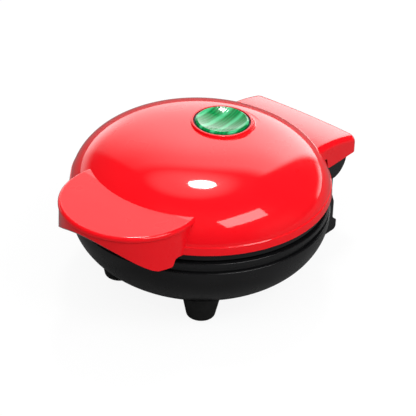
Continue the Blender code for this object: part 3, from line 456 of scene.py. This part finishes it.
def makeLidShell(looks):
    band = rounded([(60.0, rimLow + 5.2, 0), (60.02, rimLow + 4.3, 0.25), (60.5, rimLow + 3.9, 0.35),
                    (lidRadius, rimLow, 0.5), (55.0, rimLow, 0)], 5)
    profile = domeOutline(lidRadius - lid["inset"], lid["rise"], 5.4, 48)
    shell = lathe("lidShell", profile + band[1:-1] + [(0.0, rimLow)])

    r, top, lip = handle["radius"], rimLow + handle["top"], handle["lip"]
    skirt = r - handle["lipProud"]
    disc = rounded([(0.0, top, 0), (r, top, handle["edge"]), (r, top - lip, 0.3),
                    (skirt - 0.15, top - lip - 0.35, 0.2),
                    (skirt, top - lip - 0.7, 0.2), (skirt, 38.0, 0), (0.0, 38.0, 0)], 6)
    tab = lathe("tab", disc, (0.0, handle["centre"]))
    c, tip = handle["centre"], handle["centre"] - r - 6
    knee = rimLow - handle["kneeDrop"]
    swell = [tip + (c - handle["knee"] - tip) * k / 12 for k in range(12)]
    side = rounded([(y, handleUnder(y), 0) for y in swell] +
                   [(c - handle["knee"], knee, 1.0), (c - handle["heel"], knee, 1.5),
                    (c - handle["rim"], rimLow + 0.5, 1.3), (c + r, rimLow + 0.5, 0),
                    (c + r, 80.0, 0), (tip, 80.0, 0)])
    combine(tab, "INTERSECT", slab("tabSide", side, -62, 62))

    cover = hoodLoft("cover", hood["half"], hood["back"], 0.0, 34.0, hood["round"])
    low = rimLow - hood["flank"]
    front, back = hood["front"], hood["back"]
    side = rounded([(0.0, rimLow + 0.5, 0), (front + 1.5, rimLow + 0.5, 1.5), (front + 3.0, low, 1.5),
                    (back - 1.1, low, 2.2), (back + 1.1, low + 2.2, 0), (back + 6, 80.0, 0),
                    (0.0, 80.0, 0)])
    combine(cover, "INTERSECT", slab("coverSide", side, -62, 62))

    edge = collarTop
    outer = lens["radius"] + lens["ring"] + lens["gap"] + collar["width"]
    brim = rounded([(0.0, edge, 0), (outer, edge, collar["edge"]), (outer, edge - 1.0, 0)], 6)[1:-1]
    sweep = [(0.0, edge)] + brim
    for step in range(17):   # concave flank, a quarter ellipse that runs out on the dome
        t = math.pi / 2 * step / 16
        sweep.append((outer + 0.05 + collar["flare"] * (1 - math.cos(t)),
                      edge - collar["edge"] - 3.0 * math.sin(t)))
    sweep += [(outer + collar["flare"] + 0.05, edge - 5.0), (0.0, edge - 5.0)]
    rim = lathe("rimOfLens", sweep, (0.0, lens["y"]), 96)
    combine(shell, "UNION", tab, cover, rim)

    wall = lid["wall"]
    inner = domeOutline(lidRadius - lid["inset"] - wall, lid["rise"] - wall, lid["pocket"], 24)
    inner += [(lid["bore"], rimLow + lid["pocket"]), (lid["bore"], 40.0), (0.0, 40.0)]
    cavity = lathe("cavity", inner)
    scoop = lathe("scoop", [(0.0, top - handle["roof"]), (r - handle["wall"], top - handle["roof"]),
                            (r - handle["wall"], 35.0), (0.0, 35.0)], (0.0, handle["centre"]))
    wall = hood["wall"]
    hollow = hoodLoft("hollow", hood["half"] - wall, back - wall, wall, 28.0, 1.1)
    combine(cavity, "UNION", scoop, hollow)
    combine(cavity, "DIFFERENCE", rods("bosses", around(screwRing), 3.3, parting + 7.7, 76.0))
    gate = block("gate", (-28.0, pinAt.y, 26.0), (28.0, 92.0, rimLow - hood["backEdge"]))
    holes = rods("bossHoles", around(screwRing), screwHole, 40.0, parting + 13.3)
    clear = lens["radius"] + lens["ring"] + 0.6
    opening = rods("opening", [(0.0, lens["y"])], clear, 60.0, 80.0, steps=96)
    combine(shell, "DIFFERENCE", cavity, gate, holes, opening)
    dress(shell, looks["red"], "lid", "red_lid", "lid_shell", crease=28)
    # the tab's flat top faces take the shaded copy of the red: painted shade
    shell.data.materials.append(looks["shadedTabTop"])
    for face in shell.data.polygons:
        if face.normal.z > 0.999 and face.center.y < -48 * mm and face.center.z > (top - 0.1) * mm:
            face.material_index = 1


def makeLens(looks):
    edge = collarTop
    r, crest = lens["radius"], edge + lens["crown"]
    flat = r - 0.9
    cap = [(flat * k / 20, crest - lens["dish"] * (1 - (k / 20) ** 2)) for k in range(20)]
    cap += rounded([(flat - 0.3, crest - 0.1, 0), (flat, crest, 0.25), (r, edge + 0.25, 0.5),
                    (r, edge - 0.6, 0)], 6)
    foot, under = edge - lens["depth"], crest - lens["thick"]
    cap += [(r, foot), (r - lens["wall"], foot), (r - lens["wall"], under), (0.0, under)]
    piece = lathe("lensCap", cap, (0.0, lens["y"]), 128)
    dress(piece, looks["green"], "lid", "green_lens", "indicator_lens", crease=50)

    inner, low = r + lens["gap"], edge - lens["depth"] - lens["gap"]
    out = inner + lens["ring"]
    flange, hole = out + lens["flange"], lens["hole"]
    ring = rounded([(inner, edge - 0.3, 0.12), (out, edge - 0.3, 0.12), (out, low - 0.3, 0),
                    (flange, low - 0.3, 0.2), (flange, low - 1.2, 0.2), (hole, low - 1.2, 0),
                    (hole, low, 0), (inner, low, 0)], 4)
    piece = lathe("lensRing", ring, (0.0, lens["y"]), 128)
    dress(piece, looks["black"], "lid", "black_housing", "lens_bezel")


# heights in a ring's section are taken from the parting plane
ringCut = {"bore": 51.2, "ledge": 48.9, "inside": 53.2, "deep": 7.4, "channel": 2.55, "seat": 5.1}


# the plate ring's section with its visible edges rounded
def ringProfile(band, height, shoulder, tuck, channelOut, side):
    face, bore, ledge, inside = partingGap / 2, ringCut["bore"], ringCut["ledge"], ringCut["inside"]
    top, neck, deep, channel = face + height, band - shoulder, ringCut["deep"], ringCut["channel"]
    points = [(ledge, deep, 0), (inside, deep, 0), (inside, channel, 0.4), (channelOut, channel, 0.4),
              (channelOut, top + tuck, 0), (neck, top + tuck, 0),
              (neck, top, 0.25 if shoulder > 0.5 else 0), (band, top - shoulder / 4, 0.3),
              (band, face, 0.45), (bore, face, 0.4), (bore, ringCut["seat"], 0),
              (ledge, ringCut["seat"], 0)]
    return [(r, parting + side * d) for r, d in rounded(points, 5)]


knuckle = {"radius": 6.0, "half": 20.1, "front": 55.2, "low": 3.5, "rise": 5.7}
post = {"slim": 2.6, "wide": 3.9, "step": 1.6, "foot": 3.2}


def makeLidHousing(look):
    ring = lathe("lidHousing", ringProfile(59.2, 3.5, 0.1, 2.2, 57.1, 1))
    r, c = handle["radius"] - handle["wall"] - 0.3, handle["centre"]
    tip, knee = c - r - 6, c - handle["knee"]
    low = [(y, handleUnder(y) + 1.5) for y in (tip + (knee - tip) * k / 8 for k in range(9))]
    low.append((0.0, handleUnder(knee) + 1.5))
    outline = low + [(y, z + 2.0) for y, z in low[::-1]]
    tray = lathe("tray", [(0.0, 60.1), (r, 60.1), (r, 35.0), (0.0, 35.0)], (0.0, c))
    combine(tray, "INTERSECT", slab("traySide", outline, -62, 62))
    combine(tray, "DIFFERENCE", rods("trayTrim", [(0.0, 0.0)], 55.2, 0.0, 80.0, steps=turnSteps))
    pin = [(pinAt.y, pinAt.z)]
    half = knuckle["half"]
    barrel = rods("barrel", pin, knuckle["radius"], -half, half, "X")
    arm = block("arm", (-half, knuckle["front"], rimLow - knuckle["low"]),
                (half, pinAt.y, pinAt.z + knuckle["rise"]))
    high, step, foot = parting + ringCut["deep"], rimLow + post["step"], rimLow - post["foot"]
    section = [(0.0, high), (post["slim"], high), (post["slim"], step), (post["wide"], step),
               (post["wide"], foot), (0.0, foot)]
    posts = [lathe("post", section, at, smallSteps) for at in around(screwRing)]
    combine(ring, "UNION", tray, barrel, arm, *posts)
    cuts = [rods("bore", pin, pinBore, -62, 62, "X"),
            rods("screwHoles", around(screwRing), screwHole, 38.0, 60.0),
            rods("screwSinks", around(screwRing), screwSink, 38.0, rimLow - 0.9)]
    combine(ring, "DIFFERENCE", *cuts)
    dress(ring, look, "lid", "black_housing", "lid_inner_housing")


def makeRimRing(look):
    ring = lathe("rimRing", ringProfile(60.4, 2.6, 1.0, 4.5, 55.7, -1))
    combine(ring, "DIFFERENCE", lathe("bowlStep", [(57.7, 37.8), (67.0, 37.8), (67.0, 9.0), (57.7, 9.0)]))
    dress(ring, look, "base", "black_housing", "base_rim_ring")


bowl = {"radius": 60.8, "floorRadius": 37.8, "top": 37.5, "floor": 9.0, "wall": 2.2, "planShare": 2.39,
        "depthShare": 2.1}
tower = {"half": 27.9, "front": 54.0, "back": 67.0, "bulge": 2.2, "bulgeTop": 23.0, "bulgeLow": 17.5,
         "footBack": 72.2, "footHigh": 5.0, "low": 0.8, "top": 34.5,
         "ear": 9.9, "earWide": 7.2, "hollow": 25.9}
foot = {"x": 24.7, "y": -28.2, "top": 9.5, "high": 13.7, "low": 6.5, "edge": 1.7}
pads = [(-18.0, 63.1), (18.0, 63.1)]
inlet = {"height": 13.1, "radius": 4.2}


def bowlOutline(radius, floorRadius, top, floor, steps):
    reach = (1 - (floorRadius / radius) ** bowl["planShare"]) ** (1 / bowl["depthShare"])
    last = math.asin(reach ** (bowl["depthShare"] / 2))
    outline = []
    for step in range(steps + 1):
        t = last * step / steps
        outline.append((radius * math.cos(t) ** (2 / bowl["planShare"]),
                        top - (top - floor) / reach * math.sin(t) ** (2 / bowl["depthShare"])))
    return outline


def makeBaseShell(look):
    outer = bowlOutline(bowl["radius"], bowl["floorRadius"], bowl["top"], bowl["floor"], 40)
    lip = rounded([(50.0, bowl["top"], 0), (bowl["radius"], bowl["top"], 0.5), (*outer[1], 0)], 5)[1:-1]
    shell = lathe("baseShell", [(0.0, bowl["top"])] + lip + outer[1:] + [(0.0, bowl["floor"])])
    t = tower
    side = rounded([(t["front"], t["low"], 1.2), (t["footBack"], t["low"], 2.0),
                    (t["footBack"], t["low"] + t["footHigh"], 1.4), (t["back"] + t["bulge"], 8.3, 1.5),
                    (t["back"] + t["bulge"], t["bulgeLow"], 4.0), (t["back"], t["bulgeTop"], 4.0),
                    (t["back"], t["top"], 0), (t["front"], t["top"], 0)])
    body = slab("towerBody", side, -t["half"], t["half"])
    ears = [rods("ear", [(pinAt.y, pinAt.z)], t["ear"], low, low + t["earWide"], "X", 96)
            for low in (-t["half"], t["half"] - t["earWide"])]
    combine(shell, "UNION", body, *ears)
    inner = bowlOutline(bowl["radius"] - bowl["wall"], bowl["floorRadius"] - bowl["wall"], bowl["top"],
                        bowl["floor"] + bowl["wall"], 20)
    cavity = lathe("bowlCavity", [(0.0, 44.0), (inner[0][0], 44.0), *inner, (0.0, inner[-1][1])])
    inside = [(56.0, 3.5), (70.2, 3.5), (70.2, 4.8), (67.2, 7.3), (67.2, 17.5), (65.0, 23.0),
              (65.0, 32.5), (48.0, 32.5), (48.0, 17.5), (56.0, 15.5)]
    combine(cavity, "UNION", slab("towerHollow", inside, -t["hollow"], t["hollow"]))
    feet = [(-foot["x"], foot["y"]), (foot["x"], foot["y"])]
    keepers = [rods("basePosts", around(bossRing), 4.6, 0.0, 24.25),
               rods("footSeats", feet, 5.0, 0.0, 14.0)]
    combine(cavity, "DIFFERENCE", *keepers)
    way = lay(rods("way", [(0.0, 0.0)], inlet["radius"], 62.0, 76.0), (0.0, 0.0, inlet["height"]))
    combine(shell, "DIFFERENCE", cavity, rods("screwHoles", around(bossRing), screwHole, 0.0, 37.0),
            rods("screwSinks", around(bossRing), screwSink, 0.0, 12.0),
            rods("stemHoles", feet, 2.6, 0.0, 37.0),
            rods("pinBores", [(pinAt.y, pinAt.z)], pinBore, -62, 62, "X"),
            rods("padSeats", pads, 5.3, -5.0, 1.8), way)
    dress(shell, look, "base", "black_housing", "base_shell", crease=28)


def makeFeet(look):
    hull = bowlOutline(bowl["radius"] + 0.3, bowl["floorRadius"], bowl["top"], bowl["floor"] - 0.3, 30)
    for name, x in (("left", -foot["x"]), ("right", foot["x"])):
        body = rounded([(0.0, foot["high"], 0), (foot["top"], foot["high"], 0),
                        (foot["low"], 0.0, foot["edge"]), (0.0, 0.0, 0)])
        piece = lathe("foot" + name.capitalize(), body, (x, foot["y"]), 96)
        combine(piece, "DIFFERENCE", lathe("hull", [(0.0, bowl["top"]), *hull, (0.0, hull[-1][1])]))
        barb = [(0.0, 16.7), (2.3, 16.7), (3.2, 14.3), (2.3, 14.3), (2.3, 6.0), (0.0, 6.0)]
        stem = lathe("stem", barb, (x, foot["y"]), 48)
        combine(piece, "UNION", stem)
        dress(piece, look, "base", "rubber", "front_foot_" + name)
    for name, at in zip(("left", "right"), pads):
        body = rounded([(0.0, 1.5, 0), (5.0, 1.5, 0.2), (5.0, 0.0, 0.5), (0.0, 0.0, 0)])
        piece = lathe("pad" + name.capitalize(), body, at, smallSteps)
        dress(piece, look, "base", "rubber", "rear_foot_pad_" + name)


plate = {"outer": 50.8, "body": 48.5, "rimDepth": 4.8, "floor": 8.6, "back": 11.0, "face": 0.2,
         "mouth": 47.5, "pitch": 11.5, "studFoot": 8.6, "studFace": 6.2, "studTip": 3.6,
         "reach": 45.5, "bossEnd": 17.3}


# a cast plate: rounded rim, drafted wall, a grid of studs with soft edges, screw bosses behind
def makePlate(name, side, body, look):
    p = plate
    section = rounded([(0.0, p["back"], 0), (p["body"], p["back"], 0.6), (p["body"], p["rimDepth"], 0),
                       (p["outer"], p["rimDepth"], 0.4), (p["outer"], p["face"], 0.7),
                       (p["mouth"], p["face"], 0.7), (p["mouth"] - 1.0, p["floor"], 1.2),
                       (0.0, p["floor"], 0)], 4)
    piece = lathe(name, [(r, parting + side * d) for r, d in section], steps=128)
    count = math.floor(p["reach"] / p["pitch"])
    quarters = ((-1, -1), (1, -1), (1, 1), (-1, 1))
    shape = bmesh.new()
    for i in range(-count, count + 1):
        for j in range(-count, count + 1):
            x, y = i * p["pitch"], j * p["pitch"]
            if math.hypot(x, y) > p["reach"] - p["studFace"] / 4:
                continue
            levels = ((p["studFoot"] + 1.4, p["floor"] + 1.0), (p["studFoot"] + 0.9, p["floor"] - 0.02),
                      (p["studFoot"], p["floor"] - 0.5), (p["studFace"] + 0.3, p["studTip"] + 0.5),
                      (p["studFace"] - 0.2, p["studTip"] + 0.1), (p["studFace"] - 1.0, p["studTip"]))
            rows = []
            for width, depth in levels:
                corner = min(1.1, width / 5)
                square = rounded([(u * width / 2, v * width / 2, corner) for u, v in quarters], 3)
                rows.append([shape.verts.new(Vector((x + u, y + v, parting + side * depth)) * mm)
                             for u, v in square])
            for row, following in zip(rows, rows[1:]):
                for k in range(len(row)):
                    m = (k + 1) % len(row)
                    shape.faces.new((row[k], row[m], following[m], following[k]))
            shape.faces.new(rows[0])
            shape.faces.new(rows[-1])
    studs = keep("studs", shape)
    combine(studs, "INTERSECT", rods("studTrim", [(0.0, 0.0)], p["reach"] + 0.3, 0.0, 80.0, steps=128))
    ends = sorted((parting + side * 9.8, parting + side * p["bossEnd"]))
    combine(piece, "UNION", studs, rods("plateBosses", around(bossRing), 3.4, *ends))
    ends = sorted((parting + side * 10.7, parting + side * (p["bossEnd"] + 6)))
    combine(piece, "DIFFERENCE", rods("plateHoles", around(bossRing), screwHole, *ends))
    dress(piece, look, body, "nonstick_plate", name, crease=40)


screw = {"head": 1.8, "pitch": 0.9, "core": 1.35, "crest": 1.6, "slotLong": 3.2, "slotWide": 0.75,
         "slotDeep": 1.0}


# pan-head screws with a cross recess; side 1 enters upwards
def makeScrew(name, body, look, at, side):
    low, high = (corner.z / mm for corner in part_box(name))
    seat, point = (low + screw["head"], high) if side > 0 else (high - screw["head"], low)
    head = rounded([(0.0, 1.8, 0), (2.2, 1.8, 0.6), (2.9, 0.7, 0.5), (2.9, 0.0, 0), (1.6, 0.0, 0)], 5)
    turns = int(abs(point - seat) / screw["pitch"])
    thread = []
    for i in range(turns):
        d = 0.45 + i * screw["pitch"]
        thread += [(screw["core"], d), (screw["crest"], d + 0.3), (screw["core"], d + 0.6)]
    section = [(r, seat - side * d) for r, d in head] + [(r, seat + side * d) for r, d in thread[:-6]]
    section += [(0.8, point - side * 0.5), (0.0, point)]
    piece = lathe(name + "_fine", section, at, 32)
    face = seat - side * screw["head"]
    slots = []
    for width, depth in ((screw["slotWide"], screw["slotLong"]), (screw["slotLong"], screw["slotWide"])):
        near = (at[0] - width / 2, at[1] - depth / 2, face - screw["slotDeep"])
        far = (at[0] + width / 2, at[1] + depth / 2, face + screw["slotDeep"])
        slots.append(block("slot", near, far))
    combine(piece, "DIFFERENCE", *slots)
    dress(piece, look, body, "plated_steel", name, crease=30)


# the direction at a turn from the eye and a rise above level, in degrees
def lookAlong(turn, rise):
    t, e = math.radians(turn), math.radians(rise)
    return (toEye * math.cos(t) + toRight * math.sin(t)) * math.cos(e) + Vector((0, 0, math.sin(e)))


def panel(name, turn, rise, reach, width, depth, power, glossy=True, shape="RECTANGLE"):
    lamp = bpy.data.lights.new(name, "AREA")
    lamp.shape, lamp.size, lamp.size_y, lamp.energy = shape, width, depth, power
    item = bpy.data.objects.new(name, lamp)
    heart = Vector((0, 0, 0.055))
    aim = lookAlong(turn, rise)
    item.location = heart + aim * reach
    item.rotation_euler = aim.to_track_quat("Z", "Y").to_euler()
    item.visible_glossy = glossy
    scene.collection.objects.link(item)


# a value that rises softly from 0 to 1 between two others
def soften(tree, source, low, high):
    step = addNode(tree, "MapRange")
    step.interpolation_type = "SMOOTHSTEP"
    step.inputs["From Min"].default_value, step.inputs["From Max"].default_value = low, high
    tree.links.new(source, step.inputs["Value"])
    return step.outputs["Result"]


def sums(tree, operation, first, second):
    node = addNode(tree, "Math", operation=operation)
    for socket, value in zip(node.inputs, (first, second)):
        if isinstance(value, float):
            socket.default_value = value
        else:
            tree.links.new(value, socket)
    return node.outputs[0]


# the room as gloss sees it: turns are degrees from the eye, a fade is (share, from, to) and a strip is
# (turn, edges, foot, head, power)
studio = {"plain": 0.6, "dim": 0.02, "boxTurn": 182, "boxEdge": (0.82, 0.875), "box": 1.9, "lean": 2.9,
          "boxFades": [(0.35, 0.70, 0.50), (0.65, 0.81, 0.71)], "boxFoot": (-0.25, -0.05),
          "halo": (190, 68, 0.945, 0.988, 0.9), "floor": 0.14,
          "strips": [(134, (0.955, 0.99), (-0.40, -0.26), (0.16, 0.0), 2.6),
                     (216, (0.90, 0.97), (-0.35, -0.15), (0.30, 0.05), 1.3)]}


# a dim room with one tall soft box behind the object, stronger low down and to the right, a halo round
# the crown lamp and a bright strip on each side, but white where the camera looks
def makeWorld():
    world = bpy.data.worlds.new("studio")
    scene.world = world
    world.use_nodes = True
    tree = world.node_tree
    tree.nodes.clear()
    path, place = addNode(tree, "LightPath"), addNode(tree, "TexCoord")
    split = addNode(tree, "SeparateXYZ")
    tree.links.new(place.outputs["Generated"], split.inputs[0])
    height = split.outputs["Z"]
    level = sums(tree, "SQRT", sums(tree, "SUBTRACT", 1.0, sums(tree, "MULTIPLY", height, height)), 0.0)

    def along(turn, rise):
        dot = addNode(tree, "VectorMath", operation="DOT_PRODUCT")
        dot.inputs[1].default_value = lookAlong(turn, rise)
        tree.links.new(place.outputs["Generated"], dot.inputs[0])
        return dot.outputs["Value"]

    def facing(turn):   # 1 for directions over this turn, 0 a quarter circle away
        return sums(tree, "DIVIDE", along(turn, 0), level)

    power = sums(tree, "MULTIPLY", facing(studio["boxTurn"] - 90), studio["lean"])
    power = sums(tree, "ADD", power, studio["box"])
    fade = sums(tree, "ADD", *(sums(tree, "MULTIPLY", soften(tree, height, low, high), share)
                               for share, low, high in studio["boxFades"]))
    fade = sums(tree, "MULTIPLY", fade, soften(tree, height, *studio["boxFoot"]))
    shown = sums(tree, "MULTIPLY", power, fade)
    shown = sums(tree, "MULTIPLY", shown, soften(tree, facing(studio["boxTurn"]), *studio["boxEdge"]))
    turn, rise, edge, heart, strength = studio["halo"]
    halo = sums(tree, "MULTIPLY", soften(tree, along(turn, rise), edge, heart), strength)
    shown = sums(tree, "MAXIMUM", shown, halo)
    for turn, edges, foot, head, strength in studio["strips"]:
        strip = sums(tree, "MULTIPLY", soften(tree, height, *foot), soften(tree, height, *head))
        strip = sums(tree, "MULTIPLY", strip, soften(tree, facing(turn), *edges))
        shown = sums(tree, "ADD", shown, sums(tree, "MULTIPLY", strip, strength))
    shown = sums(tree, "ADD", shown, studio["dim"])
    plain, seen, white = (addNode(tree, "Background") for i in range(3))
    plain.inputs["Strength"].default_value = studio["plain"]
    tree.links.new(shown, seen.inputs["Strength"])
    for back in (plain, seen, white):
        back.inputs["Color"].default_value = (1, 1, 1, 1)
    first, second = addNode(tree, "MixShader"), addNode(tree, "MixShader")
    out = addNode(tree, "OutputWorld")
    steps = ((first, "Is Glossy Ray", plain, seen), (second, "Is Camera Ray", first, white))
    for mix, factor, a, b in steps:
        tree.links.new(path.outputs[factor], mix.inputs["Fac"])
        tree.links.new(a.outputs[0], mix.inputs[1])
        tree.links.new(b.outputs[0], mix.inputs[2])
    tree.links.new(second.outputs[0], out.inputs["Surface"])


def makeFloor():
    look = bpy.data.materials.new("pale floor")
    look.use_nodes = True
    tree = look.node_tree
    tree.nodes.clear()
    path = addNode(tree, "LightPath")
    paper, glow = addNode(tree, "BsdfDiffuse"), addNode(tree, "Emission")
    dull = (studio["floor"],) * 3
    blendColors(tree, path.outputs["Is Camera Ray"], dull, (0.9, 0.9, 0.9), paper.inputs["Color"])
    share = sums(tree, "MULTIPLY", path.outputs["Is Camera Ray"], 0.9)
    mix, out = addNode(tree, "MixShader"), addNode(tree, "OutputMaterial")
    tree.links.new(share, mix.inputs["Fac"])
    tree.links.new(paper.outputs[0], mix.inputs[1])
    tree.links.new(glow.outputs[0], mix.inputs[2])
    tree.links.new(mix.outputs[0], out.inputs["Surface"])
    shape = bmesh.new()
    bmesh.ops.create_grid(shape, x_segments=1, y_segments=1, size=6.0)
    floor = keep("floor", shape)
    floor.location.z = cadBox[0].z - 0.0002
    floor.data.materials.append(look)


def makeLamps():
    panel("crownLamp", 179, 68, 1.3, 0.22, 0.22, 5.0, shape="DISK")
    panel("sideWindow", 50, 50, 1.3, 0.80, 0.36, 5.5)
    panel("frontFill", -20, 55, 2.0, 1.6, 1.6, 17.0, glossy=False)
    panel("rightFill", 70, 12, 2.0, 1.4, 1.0, 13.0, glossy=False)


# the CAD nodes that stay get their own finish
def dressNodes(looks):
    finish = {"black": ["lamp_cup"], "glass": ["indicator_lamp"],
              "element": ["upper_heating_element", "lower_heating_element"],
              "shield": ["upper_heat_shield", "lower_heat_shield", "thermostat", "thermal_fuse"],
              "cream": ["terminal_block"], "rubber": ["cord_inlet_bush"], "zinc": ["hinge_pin"]}
    for look, names in finish.items():
        for name in names:
            mesh = frame["nodes"][name].data
            mesh.materials.clear()
            mesh.materials.append(looks[look])
            mesh.shade_smooth()
            mesh.set_sharp_from_angle(angle=math.radians(35))


looks = {"red": makeRed("lacquered red plastic", 1.0), "shadedTabTop": makeRed("red plastic with painted shade on the tab top", 0.5),
         "black": makeBlack(), "green": makeGreen(), "rubber": makeRubber(), "nonstick": makeNonstick(),
         "shield": makeSteel("plated shield", (0.55, 0.55, 0.56), 0.34),
         "element": makeSteel("element sheath", (0.13, 0.12, 0.12), 0.5),
         "zinc": makeSteel("zinc screw", (0.62, 0.62, 0.60), 0.3), "cream": makeCream(),
         "glass": makeLampGlass()}
print("materials ready")
makeCamera()
makeWorld()
makeFloor()
makeLamps()
makeLidShell(looks)
print("lid shell made")
makeLens(looks)
makeLidHousing(looks["black"])
makeRimRing(looks["black"])
makeBaseShell(looks["black"])
makeFeet(looks["rubber"])
print("housings and feet made")
makePlate("upper_waffle_plate", 1, "lid", looks["nonstick"])
makePlate("lower_waffle_plate", -1, "base", looks["nonstick"])
for i, (boss, rim) in enumerate(zip(around(bossRing), around(screwRing)), 1):
    makeScrew(f"upper_plate_screw_{i}", "lid", looks["zinc"], boss, -1)
    makeScrew(f"base_screw_{i}", "base", looks["zinc"], boss, 1)
    makeScrew(f"lid_housing_screw_{i}", "lid", looks["zinc"], rim, 1)
print("plates and screws made")
dressNodes(looks)
scene.view_settings.view_transform = "Standard"
